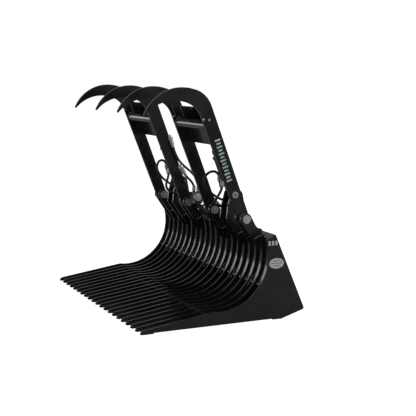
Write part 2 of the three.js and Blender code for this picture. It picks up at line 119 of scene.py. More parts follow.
HOSE_ROUTES = {
    "base_hose_right": [
        (-70, 823.4, 690), (-70, 850, 690), (-52, 888, 664), (-10, 908, 630), (60, 914, 600),
        (190, 900, 582), (290, 896, 580), (345, 868, 622), (364, 808, 682), (372, 712, 732),
        (384, 640, 790), (398, 614, 848), (414, 632, 891), (427, 672, 904), (429.5, 702, 882),
        (429.5, 706.3, 848),
    ],
    "rod_hose_right": [
        (-70, 823.4, 655), (-70, 850, 655), (-54, 890, 626), (-10, 914, 592), (60, 920, 568),
        (190, 918, 558), (300, 914, 561), (352, 890, 590), (372, 830, 645), (374, 740, 668),
        (392, 690, 692), (436, 684, 728), (458, 704, 778), (461.5, 713, 812), (461.5, 714.5, 838),
    ],
    "base_hose_left": [
        (-122, 823.4, 690), (-122, 850, 690), (-138, 886, 664), (-170, 906, 630),
        (-215, 908, 600), (-290, 898, 580), (-345, 868, 622), (-364, 808, 682), (-372, 712, 732),
        (-388, 640, 790), (-408, 614, 848), (-434, 632, 891), (-456, 672, 904),
        (-461.5, 702, 882), (-461.5, 706.3, 848),
    ],
    "rod_hose_left": [
        (-122, 823.4, 655), (-122, 850, 655), (-136, 888, 626), (-168, 912, 592),
        (-215, 920, 568), (-300, 914, 561), (-352, 890, 590), (-372, 830, 645), (-374, 740, 668),
        (-388, 690, 692), (-412, 684, 728), (-427, 704, 778), (-429.5, 713, 812),
        (-429.5, 714.5, 838),
    ],
    "supply_hose_long": [
        (-78, 786, 720.8), (-78, 786, 745), (-86, 780, 795), (-118, 752, 845), (-152, 718, 882),
        (-174, 686, 922), (-183, 658, 978), (-184, 647, 1012), (-185, 636, 1046),
    ],
    "supply_hose_short": [
        (-114, 770, 720.8), (-114, 770, 745), (-110, 745, 785), (-105, 716, 812),
        (-102, 700, 832), (-100, 688, 850),
    ],
}


class Slot(Enum):
    """Material slots of the record."""

    PAINT = "black_paint"
    ZINC = "zinc_plate"
    CHROME = "rod_chrome"
    RUBBER = "hose_rubber"


class Side(Enum):
    """The two grapple lids."""

    LEFT = -1
    RIGHT = 1

    @property
    def word(self) -> str:
        """The side's word in piece names."""
        return self.name.lower()


def at(x: float, y: float, z: float) -> Vector:
    """A point in metres from millimetres measured from the tine tips."""
    return Vector((x * MM, (y - DEPTH_ORIGIN) * MM, z * MM))


def on_slope(t: float, n: float) -> tuple[float, float]:
    """The (y, z) of a point on the leaning back, in millimetres."""
    return (t * math.cos(LEAN) - n * math.sin(LEAN), t * math.sin(LEAN) + n * math.cos(LEAN))


def smooth_route(points: list[tuple[float, float, float]], count: int) -> list[Vector]:
    """Samples a centripetal curve through route points.

    Args:
        points: Route points in millimetres.
        count: Number of samples.

    Returns:
        Evenly spaced points in metres.
    """
    route = [at(*p) for p in points]
    route = [route[0] * 2 - route[1], *route, route[-1] * 2 - route[-2]]
    dense: list[Vector] = []
    for p0, p1, p2, p3 in zip(route, route[1:], route[2:], route[3:]):
        t1 = (p1 - p0).length ** 0.5
        t2 = t1 + (p2 - p1).length ** 0.5
        t3 = t2 + (p3 - p2).length ** 0.5
        for step in range(SMOOTH_STEPS):
            t = t1 + (t2 - t1) * step / SMOOTH_STEPS
            a1 = p0.lerp(p1, t / t1)
            a2 = p1.lerp(p2, (t - t1) / (t2 - t1))
            a3 = p2.lerp(p3, (t - t2) / (t3 - t2))
            b1 = a1.lerp(a2, t / t2)
            b2 = a2.lerp(a3, (t - t1) / (t3 - t1))
            dense.append(b1.lerp(b2, (t - t1) / (t2 - t1)))
    dense.append(route[-2])
    lengths = [0.0]
    for a, b in zip(dense, dense[1:]):
        lengths.append(lengths[-1] + (b - a).length)
    even, index = [], 0
    for step in range(count):
        want = lengths[-1] * step / (count - 1)
        while index < len(dense) - 2 and lengths[index + 1] < want:
            index += 1
        span = max(lengths[index + 1] - lengths[index], 1e-9)
        even.append(dense[index].lerp(dense[index + 1], min(1.0, (want - lengths[index]) / span)))
    return even


# ---- Shader groups and finishes -------------------------------------------------------------


def new_group(
    name: str, inputs: dict[str, float], outputs: list[str]
) -> bpy.types.ShaderNodeTree:
    """Starts a shader node group with float sockets.

    Args:
        name: Name of the group.
        inputs: Input names with their default values.
        outputs: Output names.

    Returns:
        The group, with its input and output nodes.
    """
    group = bpy.data.node_groups.new(name, "ShaderNodeTree")
    for label, value in inputs.items():
        socket = group.interface.new_socket(label, in_out="INPUT", socket_type="NodeSocketFloat")
        socket.default_value = value
    for label in outputs:
        group.interface.new_socket(label, in_out="OUTPUT", socket_type="NodeSocketFloat")
    group.nodes.new("NodeGroupInput")
    group.nodes.new("NodeGroupOutput")
    return group


def noise(
    tree: bpy.types.NodeTree, vector: bpy.types.NodeSocket, scale: float, detail: float
) -> bpy.types.Node:
    """Adds a noise texture reading the given coordinates."""
    node = tree.nodes.new("ShaderNodeTexNoise")
    node.inputs["Scale"].default_value = scale
    node.inputs["Detail"].default_value = detail
    tree.links.new(vector, node.inputs["Vector"])
    return node


def ramp(
    tree: bpy.types.NodeTree, value: bpy.types.NodeSocket, low: float, high: float
) -> bpy.types.NodeSocket:
    """Adds a clamped map of value from low..high to 0..1."""
    node = tree.nodes.new("ShaderNodeMapRange")
    node.inputs["From Min"].default_value = low
    node.inputs["From Max"].default_value = high
    tree.links.new(value, node.inputs["Value"])
    return node.outputs["Result"]


def multiply(
    tree: bpy.types.NodeTree, a: bpy.types.NodeSocket, b: bpy.types.NodeSocket
) -> bpy.types.NodeSocket:
    """Adds a product of two values."""
    node = tree.nodes.new("ShaderNodeMath")
    node.operation = "MULTIPLY"
    tree.links.new(a, node.inputs[0])
    tree.links.new(b, node.inputs[1])
    return node.outputs[0]


def build_weathering_group() -> bpy.types.ShaderNodeTree:
    """Builds the group that gives dust, scuff and grain masks over a surface."""
    group = new_group(
        "workshop_weathering",
        {"Dust": 0.3, "Scuffs": 0.3, "Grain Scale": 500.0},
        ["Dust", "Scuffs", "Grain"],
    )
    given, out = group.nodes["Group Input"], group.nodes["Group Output"]
    place = group.nodes.new("ShaderNodeTexCoord").outputs["Object"]
    cloud = noise(group, place, 5.0, 6.0)
    group.links.new(
        multiply(group, ramp(group, cloud.outputs["Fac"], 0.42, 0.72), given.outputs["Dust"]),
        out.inputs["Dust"],
    )
    stretch = group.nodes.new("ShaderNodeMapping")
    stretch.inputs["Scale"].default_value = (90.0, 14.0, 55.0)
    stretch.inputs["Rotation"].default_value = (0.4, 0.2, 0.5)
    group.links.new(place, stretch.inputs["Vector"])
    scratch = noise(group, stretch.outputs["Vector"], 1.6, 8.0)
    group.links.new(
        multiply(group, ramp(group, scratch.outputs["Fac"], 0.6, 0.72), given.outputs["Scuffs"]),
        out.inputs["Scuffs"],
    )
    grain = noise(group, place, 500.0, 3.0)
    group.links.new(given.outputs["Grain Scale"], grain.inputs["Scale"])
    group.links.new(grain.outputs["Fac"], out.inputs["Grain"])
    return group


def build_edge_group() -> bpy.types.ShaderNodeTree:
    """Builds the group that marks raised edges, broken up by fine noise."""
    group = new_group("edge_wear", {"Wear": 0.5}, ["Edge"])
    given, out = group.nodes["Group Input"], group.nodes["Group Output"]
    ridge = ramp(group, group.nodes.new("ShaderNodeNewGeometry").outputs["Pointiness"], 0.53, 0.6)
    place = group.nodes.new("ShaderNodeTexCoord").outputs["Object"]
    broken = ramp(group, noise(group, place, 45.0, 5.0).outputs["Fac"], 0.4, 0.62)
    group.links.new(
        multiply(group, multiply(group, ridge, broken), given.outputs["Wear"]), out.inputs["Edge"]
    )
    return group


@dataclass(frozen=True)
class Finish:
    """A surface finish built on the shared weathering and edge groups."""

    name: str
    slot: Slot
    base: tuple[float, float, float]
    dusty: tuple[float, float, float]
    worn: tuple[float, float, float]
    rough: float
    rough_dusty: float
    metal: float = 0.0
    coat: float = 0.0
    dust: float = 0.3
    scuffs: float = 0.2
    wear: float = 0.2
    grain: float = 500.0
    bump: float = 0.04

    def build(self) -> bpy.types.Material:
        """Builds the material.

        Returns:
            The finished material, with its name.
        """
        material = bpy.data.materials.new(self.name)
        material.use_nodes = True
        tree = material.node_tree
        shader = tree.nodes["Principled BSDF"]
        shader.inputs["Metallic"].default_value = self.metal
        shader.inputs["Coat Weight"].default_value = self.coat
        shader.inputs["Coat Roughness"].default_value = 0.12
        weather = tree.nodes.new("ShaderNodeGroup")
        weather.node_tree = bpy.data.node_groups["workshop_weathering"]
        weather.inputs["Dust"].default_value = self.dust
        weather.inputs["Scuffs"].default_value = self.scuffs
        weather.inputs["Grain Scale"].default_value = self.grain
        edges = tree.nodes.new("ShaderNodeGroup")
        edges.node_tree = bpy.data.node_groups["edge_wear"]
        edges.inputs["Wear"].default_value = self.wear
        colour = self._mix(tree, (*self.base, 1.0), (*self.dusty, 1.0), weather.outputs["Dust"])
        colour = self._mix(tree, colour, (*self.worn, 1.0), weather.outputs["Scuffs"])
        colour = self._mix(tree, colour, (*self.worn, 1.0), edges.outputs["Edge"])
        tree.links.new(colour, shader.inputs["Base Color"])
        gloss = tree.nodes.new("ShaderNodeMapRange")
        gloss.inputs["To Min"].default_value = self.rough
        gloss.inputs["To Max"].default_value = self.rough_dusty
        tree.links.new(weather.outputs["Dust"], gloss.inputs["Value"])
        tree.links.new(gloss.outputs["Result"], shader.inputs["Roughness"])
        relief = tree.nodes.new("ShaderNodeBump")
        relief.inputs["Strength"].default_value = self.bump
        relief.inputs["Distance"].default_value = 0.0006
        tree.links.new(weather.outputs["Grain"], relief.inputs["Height"])
        tree.links.new(relief.outputs["Normal"], shader.inputs["Normal"])
        return material

    @staticmethod
    def _mix(
        tree: bpy.types.NodeTree,
        under: bpy.types.NodeSocket | tuple[float, ...],
        over: tuple[float, ...],
        mask: bpy.types.NodeSocket,
    ) -> bpy.types.NodeSocket:
        """Adds a colour mix and returns its result."""
        node = tree.nodes.new("ShaderNodeMix")
        node.data_type = "RGBA"
        first, second = node.inputs[6], node.inputs[7]
        if isinstance(under, tuple):
            first.default_value = under
        else:
            tree.links.new(under, first)
        second.default_value = over
        tree.links.new(mask, node.inputs["Factor"])
        return node.outputs[2]


FINISHES = [
    Finish("gloss_black_paint", Slot.PAINT, (0.0075, 0.0075, 0.0085), (0.045, 0.043, 0.04),
           (0.07, 0.07, 0.072), 0.2, 0.44, coat=0.25, dust=0.3, scuffs=0.1, wear=0.3),
    # Weld bead finish: its base, dusty and worn greys sit far above the black paint as a painted highlight,
    # standing in for light caught on the glossy black-painted beads
    Finish("weld_black", Slot.PAINT, (0.1, 0.1, 0.102), (0.15, 0.148, 0.14),
           (0.2, 0.2, 0.2), 0.24, 0.5, coat=0.4, dust=0.5, wear=0.7, grain=900.0, bump=0.2),
    Finish("barrel_black_paint", Slot.PAINT, (0.006, 0.006, 0.007), (0.035, 0.034, 0.032),
           (0.06, 0.06, 0.06), 0.13, 0.34, coat=0.5, dust=0.25, scuffs=0.08, wear=0.2, bump=0.03),
    Finish("zinc_plated_steel", Slot.ZINC, (0.66, 0.76, 0.76), (0.45, 0.48, 0.47),
           (0.72, 0.74, 0.72), 0.32, 0.5, metal=0.75, dust=0.5, scuffs=0.3, grain=1400.0, bump=0.08),
    Finish("polished_rod_chrome", Slot.CHROME, (0.66, 0.68, 0.7), (0.42, 0.42, 0.41),
           (0.5, 0.5, 0.5), 0.07, 0.2, metal=1.0, dust=0.15, scuffs=0.06, wear=0.0, bump=0.01),
    Finish("hose_cover_rubber", Slot.RUBBER, (0.011, 0.011, 0.011), (0.06, 0.058, 0.054),
           (0.04, 0.04, 0.04), 0.5, 0.75, dust=0.5, scuffs=0.15, wear=0.0, grain=1100.0, bump=0.35),
    Finish("dust_seal_polymer", Slot.RUBBER, (0.02, 0.02, 0.021), (0.07, 0.068, 0.06),
           (0.05, 0.05, 0.05), 0.42, 0.6, dust=0.3, wear=0.0, grain=800.0, bump=0.15),
    Finish("worn_pale_stencil_paint", Slot.PAINT, (0.58, 0.76, 0.79), (0.06, 0.08, 0.085),
           (0.015, 0.015, 0.016), 0.42, 0.6, dust=0.95, scuffs=0.95, wear=0.0, grain=700.0, bump=0.08),
    Finish("plate_sticker_tan", Slot.PAINT, (0.34, 0.26, 0.17), (0.16, 0.13, 0.1),
           (0.05, 0.05, 0.05), 0.4, 0.6, dust=0.6, scuffs=0.3, wear=0.0, grain=700.0),
    Finish("plate_sticker_orange", Slot.PAINT, (0.62, 0.24, 0.05), (0.14, 0.06, 0.03),
           (0.03, 0.03, 0.03), 0.4, 0.6, dust=0.6, scuffs=0.4, wear=0.0, grain=700.0),
]


# ---- Mesh helpers -----------------------------------------------------------------------------


def to_object(
    bm: bmesh.types.BMesh,
    name: str,
    finish: str,
    body: str,
    bevel: float = 0.0,
    smooth: float = 35.0,
) -> bpy.types.Object:
    """Turns a finished bmesh into a piece that rides on a body.

    Args:
        bm: The shape, in the shared frame. It is freed.
        name: Name of the piece.
        finish: Name of its material.
        body: Body it rides on.
        bevel: Width of the edge rounding, in metres.
        smooth: Angle in degrees under which edges are smooth.

    Returns:
        The piece.
    """
    mesh = bpy.data.meshes.new(name)
    bm.to_mesh(mesh)
    bm.free()
    mesh.polygons.foreach_set("use_smooth", [True] * len(mesh.polygons))
    mesh.set_sharp_from_angle(angle=math.radians(smooth))
    if not mesh.materials:
        mesh.materials.append(bpy.data.materials[finish])
    piece = bpy.data.objects.new(name, mesh)
    bpy.context.scene.collection.objects.link(piece)
    if bevel > 0:
        rounding = piece.modifiers.new("rounded_edges", "BEVEL")
        rounding.width = bevel
        rounding.segments = 2
        rounding.limit_method = "ANGLE"
        rounding.angle_limit = BEVEL_ANGLE
        rounding.harden_normals = True
    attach(piece, body)
    return piece


def merged_copy(node: str) -> bmesh.types.BMesh:
    """A merged copy of a CAD node with its flat faces made whole."""
    bm = bmesh.new()
    bm.from_mesh(frame["nodes"][node].data)
    bmesh.ops.remove_doubles(bm, verts=bm.verts, dist=MERGE_DISTANCE)
    bmesh.ops.dissolve_limit(bm, angle_limit=FLAT_ANGLE, verts=bm.verts, edges=bm.edges)
    for layer in list(bm.loops.layers.uv.values()):
        bm.loops.layers.uv.remove(layer)
    return bm


def dress_node(node: str, finish: str, bevel: float) -> bpy.types.Object:
    """Replaces a CAD node with a copy that has rounded edges and a finish.

    Args:
        node: Name of the CAD node.
        finish: Name of the material.
        bevel: Width of the edge rounding, in metres.

    Returns:
        The piece that stands for the node.
    """
    body = body_of(frame["nodes"][node])[0]
    piece = to_object(merged_copy(node), f"{node}_finished", finish, body, bevel)
    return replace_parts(piece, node)


def facing(direction: Vector, place: Vector) -> Matrix:
    """A placement whose Z axis points along direction."""
    return Matrix.Translation(place) @ direction.to_track_quat("Z", "Y").to_matrix().to_4x4()


def add_bar(
    bm: bmesh.types.BMesh,
    start: Vector,
    end: Vector,
    radius: float,
    tip: float | None = None,
    segments: int = 32,
) -> None:
    """Adds a bar between two points.

    Args:
        bm: The shape it is added to.
        start: One end, in metres.
        end: The other end.
        radius: Radius at the start, in metres.
        tip: Radius at the end; the same if not given.
        segments: Sides, six for a hexagon.
    """
    run = end - start
    bmesh.ops.create_cone(
        bm, cap_ends=True, cap_tris=False, segments=segments, radius1=radius,
        radius2=radius if tip is None else tip, depth=run.length,
        matrix=facing(run, (start + end) / 2),
    )


def add_ring(bm: bmesh.types.BMesh, centre: Vector, axis: Vector, radius: float, thick: float) -> None:
    """Adds a closed ring of round section by spinning a circle about the axis."""
    made = bmesh.ops.create_circle(
        bm, cap_ends=False, radius=thick, segments=10,
        matrix=facing(axis, centre)
        @ Matrix.Translation((radius, 0, 0))
        @ Matrix.Rotation(math.pi / 2, 4, "X"),
    )
    edges = list({e for v in made["verts"] for e in v.link_edges})
    bmesh.ops.spin(
        bm, geom=made["verts"] + edges, cent=centre, axis=axis, angle=math.tau, steps=SPIN_STEPS,
        use_merge=True, use_duplicate=False,
    )


@dataclass
class WeldRow:
    """A piece made of many rippled weld beads."""

    name: str
    body: str
    radius: float = 4.2

    def __post_init__(self) -> None:
        """Opens the row's shape and its cache of beads."""
        self.bm = bmesh.new()
        self.beads: dict[int, bpy.types.Mesh] = {}

    def _bead(self, ripples: int) -> bpy.types.Mesh:
        """A rippled bead of unit length along X, made by a spin."""
        if ripples not in self.beads:
            bm = bmesh.new()
            count = ripples * 2
            line = [bm.verts.new((0, 0, 0))]
            for step in range(1, count):
                swell = 1.0 if step % 2 else 0.8
                end = 0.75 if step in (1, count - 1) else 1.0
                line.append(bm.verts.new((step / count, 0, swell * end)))
            line.append(bm.verts.new((1, 0, 0)))
            edges = [bm.edges.new(pair) for pair in zip(line, line[1:])]
            bmesh.ops.spin(
                bm, geom=line + edges, cent=(0, 0, 0), axis=(1, 0, 0), angle=math.tau, steps=8,
                use_merge=True, use_duplicate=False,
            )
            bmesh.ops.remove_doubles(bm, verts=bm.verts, dist=1e-5)
            bmesh.ops.recalc_face_normals(bm, faces=bm.faces)
            mesh = bpy.data.meshes.new(f"bead_{ripples}")
            bm.to_mesh(mesh)
            bm.free()
            self.beads[ripples] = mesh
        return self.beads[ripples]

    def run(self, start: Vector, end: Vector, radius: float = 0.0) -> None:
        """Lays one bead from start to end, in metres; radius is in millimetres."""
        run = end - start
        size = (radius or self.radius) * MM
        bead = self._bead(max(3, round(run.length / (size * 0.9)))).copy()
        turn = run.to_track_quat("X", "Z").to_matrix().to_4x4()
        bead.transform(Matrix.Translation(start) @ turn @ Matrix.Diagonal((run.length, size, size, 1)))
        self.bm.from_mesh(bead)
        bpy.data.meshes.remove(bead)

    def circle(self, centre: Vector, axis: Vector, radius: float, pieces: int = 18) -> None:
        """Lays a bead around a bar; radius is in millimetres."""
        frame_at = facing(axis, centre)
        spots = [
            frame_at @ Vector((math.cos(a) * radius * MM, math.sin(a) * radius * MM, 0))
            for a in (math.tau * i / pieces for i in range(pieces + 1))
        ]
        for a, b in zip(spots, spots[1:]):
            self.run(a - (b - a) * 0.15, b + (b - a) * 0.15)

    def close(self) -> bpy.types.Object:
        """Finishes the row and returns the piece."""
        for mesh in self.beads.values():
            bpy.data.meshes.remove(mesh)
        # The beads take the weld finish, whose lighter grey is a painted highlight over the same black paint
        return to_object(self.bm, self.name, "weld_black", self.body, smooth=70.0)


# ---- Sub-assemblies ----------------------------------------------------------------------------


@dataclass
class BucketShell:
    """Tines, side plates, back sheet, tubes and coupler, with their welds."""

    edge: float = 0.0016
    gap_half: float = 20.0
    rib_steps: tuple[int, ...] = (-8, -5, -3, 0, 3, 5, 8)
    sheet: tuple[float, float, float] = (528.0, 410.0, 337.0)

    def build(self) -> list[bpy.types.Object]:
        """Builds the shell's steel and its welds."""
        made = []
        for node in frame["nodes"]:
            if node.startswith(("tine_", "side_plate_")):
                made.append(dress_node(node, "gloss_black_paint", self.edge))
        for node in ("back_sheet", "top_beam", "floor_cross_tube", "coupler_frame"):
            made.append(dress_node(node, "gloss_black_paint", 0.0012))
        return [*made, *self._welds()]

    def _welds(self) -> list[bpy.types.Object]:
        """Lays the welds between the tines, the sheet, the beam and the coupler."""
        seams = WeldRow("sheet_stitch_welds", "bucket")
        for gap in range(20):
            x = (gap - 9.5) * PITCH
            seams.run(at(x - self.gap_half, 807, 224), at(x + self.gap_half, 807, 224), 6.0)
        y0, z0, r = self.sheet
        for tine in self.rib_steps:
            for side in (-1, 1):
                x = tine * PITCH + side * 8.2
                spots = [at(x, y0 + math.sqrt(r * r - (z - z0) ** 2), z) for z in (195, 218, 241, 264)]
                for a, b in zip(spots, spots[1:]):
                    seams.run(a, b, 3.6)
        beam = WeldRow("beam_stitch_welds", "bucket")
        for gap in range(20):
            x = (gap - 9.5) * PITCH
            beam.run(at(x - 20, *on_slope(990, 137)), at(x + 20, *on_slope(990, 137)), 3.4)
        for tine in range(-9, 10):
            for side in (-1, 1):
                x = tine * PITCH + side * 8.4
                beam.run(at(x, *on_slope(989.2, 60)), at(x, *on_slope(989.2, 124)), 3.4)
                for y in (432, 472):
                    beam.run(at(x, y, 34), at(x, y, 58), 3.2)
        return [seams.close(), beam.close()]


@dataclass
class Bracket:
    """A pair of ears with its pin, keeper, grease nipple and foot welds."""

    place: str
    x: float
    pin: tuple[float, float]
    ear: float
    head: tuple[float, float]
    pin_node: str

    def build(self) -> list[bpy.types.Object]:
        """Builds the ears, the pin and the small parts on it."""
        ears = dress_node(f"bracket_{self.place}", "gloss_black_paint", 0.0016)
        pin = dress_node(self.pin_node, "zinc_plated_steel", 0.0014)
        return [ears, pin, self._keeper(), self._foot_welds()]

    def _keeper(self) -> bpy.types.Object:
        """Builds the keeper tab, its bolt and the pin's grease nipple on the head."""
        reach, radius = self.head
        y, z = self.pin
        bm = bmesh.new()
        add_bar(bm, at(self.x + reach - 0.4, y, z), at(self.x + reach + 4, y, z), 0.0062, segments=6)
        add_bar(bm, at(self.x + reach + 4, y, z), at(self.x + reach + 8, y, z), 0.0034, 0.0022, 16)
        back = -radius * 0.62
        add_bar(bm, at(self.x + reach - 0.4, y + back, z), at(self.x + reach + 3.6, y + back, z),
                0.0052, segments=6)
        return to_object(bm, f"keeper_{self.place}", "zinc_plated_steel", "bucket", 0.0005)

    def _foot_welds(self) -> bpy.types.Object:
        """Lays a bead along both sides of each ear's foot."""
        row = WeldRow(f"foot_welds_{self.place}", "bucket", 4.0)
        for ear in (-1, 1):
            for face in (-1, 1):
                x = self.x + ear * self.ear + face * 8.0
                row.run(at(x, *on_slope(940, 139.4)), at(x, *on_slope(985, 139.4)))
                row.run(at(x, *on_slope(993, 139.4)), at(x, *on_slope(1036, 139.4)))
        return row.close()


@dataclass
class Lid:
    """One grapple lid: two claws, the tube, the front plate and the rod pin."""

    side: Side
    claw_half: float = 9.5

    def build(self) -> list[bpy.types.Object]:
        """Builds the lid's steel, welds and grease points."""
        word = self.side.word
        nodes = [f"claw_{word}_outer", f"claw_{word}_inner", f"{word}_lid_tube", f"{word}_lid_plate"]
        made = [dress_node(n, "gloss_black_paint", 0.0018) for n in nodes]
        made.append(dress_node(f"{word}_rod_pin", "zinc_plated_steel", 0.0012))
        made += [self._welds(), self._grease_points()]
        return made

    def _claws(self) -> list[float]:
        """The X of both claws."""
        return [CLAW_X[f"{self.side.word}_outer"], CLAW_X[f"{self.side.word}_inner"]]

    def _welds(self) -> bpy.types.Object:
        """Lays beads around the tube and the hub bosses."""
        row = WeldRow(f"{self.side.word}_lid_welds", f"{self.side.word}_lid", 3.6)
        x_axis = Vector((1, 0, 0))
        for x in self._claws():
            for face in (-1, 1):
                inward = (x < self.side.value * LID_X) == (face > 0)
                if inward:
                    row.circle(at(x + face * 10.4, *LID_TUBE), x_axis, 31.4)
                row.circle(at(x + face * 10.2, *PIVOT), x_axis, 31.0)
        return row.close()

    def _grease_points(self) -> bpy.types.Object:
        """Adds a nipple and two small bolts near the top of each claw."""
        bm = bmesh.new()
        for x in self._claws():
            out = 1 if x > 0 else -1
            face = x + out * self.claw_half
            for y, z in ((478, 1251), (515, 1247)):
                add_bar(bm, at(face - out * 0.5, y, z), at(face + out * 4.2, y, z), 0.0075, segments=6)
                add_bar(bm, at(face + out * 4.0, y, z), at(face + out * 7.5, y, z), 0.0042, 0.0034, 16)
        piece = f"{self.side.word}_claw_bolts"
        return to_object(bm, piece, "zinc_plated_steel", f"{self.side.word}_lid", 0.0005)


@dataclass
class Cylinder:
    """One hydraulic cylinder with its fittings and seals."""

    side: Side
    axis: tuple[float, float] = (-0.355010, 0.934865)
    eye_reach: float = 33.0

    def build(self) -> list[bpy.types.Object]:
        """Builds the barrel, rod, seal and hose ends."""
        word = self.side.word
        barrel = dress_node(f"{word}_barrel", "barrel_black_paint", 0.0012)
        return [barrel, self._rod(), self._seal(), *self._hose_ends()]

    def _along(self, up: float, reach: float = 0.0, x: float = 0.0) -> Vector:
        """A point up the cylinder from its base pin, reach to the front, x across."""
        dy, dz = self.axis
        y, z = BASE_PIN
        return at(self.side.value * LID_X + x, y + dy * up - dz * reach, z + dz * up + dy * reach)

    def _rod(self) -> bpy.types.Object:
        """Replaces the rod with a chromed bar and a painted eye."""
        word = self.side.word
        bm = merged_copy(f"{word}_rod")
        centre = at(self.side.value * LID_X, *ROD_PIN)
        name = f"{word}_rod_finished"
        for face in bm.faces:
            offset = face.calc_center_median() - centre
            offset.x = 0
            face.material_index = 1 if offset.length < self.eye_reach * MM else 0
        piece = to_object(bm, name, "polished_rod_chrome", f"{word}_cylinder_rod", 0.0008)
        piece.data.materials.clear()
        piece.data.materials.append(bpy.data.materials["polished_rod_chrome"])
        piece.data.materials.append(bpy.data.materials["barrel_black_paint"])
        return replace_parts(piece, f"{word}_rod")

    def _seal(self) -> bpy.types.Object:
        """Adds the dust seal at the gland and a retaining ring below it."""
        bm = bmesh.new()
        run = (self._along(100) - self._along(0)).normalized()
        add_ring(bm, self._along(322.5), run, 0.0225, 0.0028)
        add_ring(bm, self._along(297), run, 0.0382, 0.0016)
        bmesh.ops.remove_doubles(bm, verts=bm.verts, dist=1e-6)
        bmesh.ops.recalc_face_normals(bm, faces=bm.faces)
        word = self.side.word
        return to_object(
            bm, f"{word}_gland_seal", "dust_seal_polymer", f"{word}_cylinder_barrel"
        )

    def _hose_ends(self) -> list[bpy.types.Object]:
        """Adds the crimped ends of this side's two hoses at the cylinder and at the valve block."""
        word = self.side.word
        made = []
        for kind in ("base", "rod"):
            route = HOSE_ROUTES[f"{kind}_hose_{word}"]
            near = smooth_route(route, 120)
            made.append(crimped_end(near, f"{kind}_hose_{word}_block_end", "bucket"))
            made.append(
                crimped_end(near[::-1], f"{kind}_hose_{word}_cylinder_end", f"{word}_cylinder_barrel")
            )
        return made


def crimped_end(route: list[Vector], name: str, body: str) -> bpy.types.Object:
    """Builds a swivel nut and a crimped ferrule on the start of a hose.

    Args:
        route: Points of the hose, from this end.
        name: Name of the piece.
        body: Body it rides on.

    Returns:
        The piece.
    """
    start = route[0]
    run = (route[3] - start).normalized()
    bm = bmesh.new()
    add_bar(bm, start - run * 0.004, start + run * 0.009, 0.0142, segments=6)
    for ring in range(4):
        low = 0.009 + ring * 0.0052
        add_bar(bm, start + run * low, start + run * (low + 0.0044), 0.0119)
        add_bar(bm, start + run * (low + 0.0042), start + run * (low + 0.0054), 0.0108)
    return to_object(bm, name, "zinc_plated_steel", body, 0.0005)


@dataclass
class HoseSet:
    """All hoses, the valve block and the quick couplers."""

    radius: float = 8.5
    ring_sides: int = 4

    def _tube(self, name: str, samples: int) -> bpy.types.Object:
        """A round tube on a hose's route, as a curve of one open spline."""
        curve = bpy.data.curves.new(name, "CURVE")
        curve.dimensions = "3D"
        curve.bevel_depth = self.radius * MM
        curve.bevel_resolution = self.ring_sides
        curve.use_fill_caps = True
        spline = curve.splines.new("POLY")
        points = smooth_route(HOSE_ROUTES[name], samples)
        spline.points.add(len(points) - 1)
        for slot, point in zip(spline.points, points):
            slot.co = (*point, 1.0)
        spline.use_smooth = True
        tube = bpy.data.objects.new(f"{name}_cover", curve)
        bpy.context.scene.collection.objects.link(tube)
        curve.materials.append(bpy.data.materials["hose_cover_rubber"])
        return tube

    def _lid_hose(self, side: Side, kind: str) -> bpy.types.Object:
        """A hose that bends between the bucket and a cylinder."""
        name = f"{kind}_hose_{side.word}"
        tube = self._tube(name, 90)
        bpy.context.view_layer.update()
        settled = tube.evaluated_get(bpy.context.evaluated_depsgraph_get())
        mesh = bpy.data.meshes.new_from_object(settled)
        bpy.data.objects.remove(tube)
        bm = bmesh.new()
        bm.from_mesh(mesh)
        bmesh.ops.remove_doubles(bm, verts=bm.verts, dist=1e-6)
        bmesh.ops.recalc_face_normals(bm, faces=bm.faces)
        bm.to_mesh(mesh)
        bm.free()
        mesh.name = f"{name}_cover"
        hose = bpy.data.objects.new(f"{name}_cover", mesh)
        bpy.context.scene.collection.objects.link(hose)
        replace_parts(hose, name)
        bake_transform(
            hose, "bucket", f"{side.word}_cylinder_barrel",
            start=tuple(at(side.value * 372, 780, 690)), end=tuple(at(side.value * 445, 690, 850)),
        )
        return hose

    def _supply(self, name: str, coupler: str) -> list[bpy.types.Object]:
        """A supply hose with its crimped ends and quick coupler."""
        hose = self._tube(name, 32)
        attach(hose, "bucket")
        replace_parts(hose, name)
        route = smooth_route(HOSE_ROUTES[name], 90)
        far = crimped_end(route[::-1], f"{name}_coupler_end", "bucket")
        near = crimped_end(route, f"{name}_block_end", "bucket")
        quick = dress_node(coupler, "zinc_plated_steel", 0.0009)
        return [hose, near, far, quick]

    def _block(self) -> list[bpy.types.Object]:
        """The valve block with its round cap, plugs and cap screws."""
        block = dress_node("hydraulic_block", "gloss_black_paint", 0.0014)
        bm = bmesh.new()
        add_bar(bm, at(-54.5, 772, 676), at(-46, 772, 676), 0.027)
        add_bar(bm, at(-46.2, 772, 676), at(-40, 772, 676), 0.0165, segments=6)
        for y, z in ((744, 704), (744, 644), (801, 704), (801, 644)):
            add_bar(bm, at(-54.5, y, z), at(-50, y, z), 0.0042, segments=16)
        cap = to_object(bm, "valve_block_cap", "zinc_plated_steel", "bucket", 0.0007)
        return [block, cap]

    def build(self) -> list[bpy.types.Object]:
        """Builds the hoses and the block."""
        made = self._block()
        for side in Side:
            made += [self._lid_hose(side, "base"), self._lid_hose(side, "rod")]
        made += self._supply("supply_hose_long", "quick_coupler_long")
        made += self._supply("supply_hose_short", "quick_coupler_short")
        return made


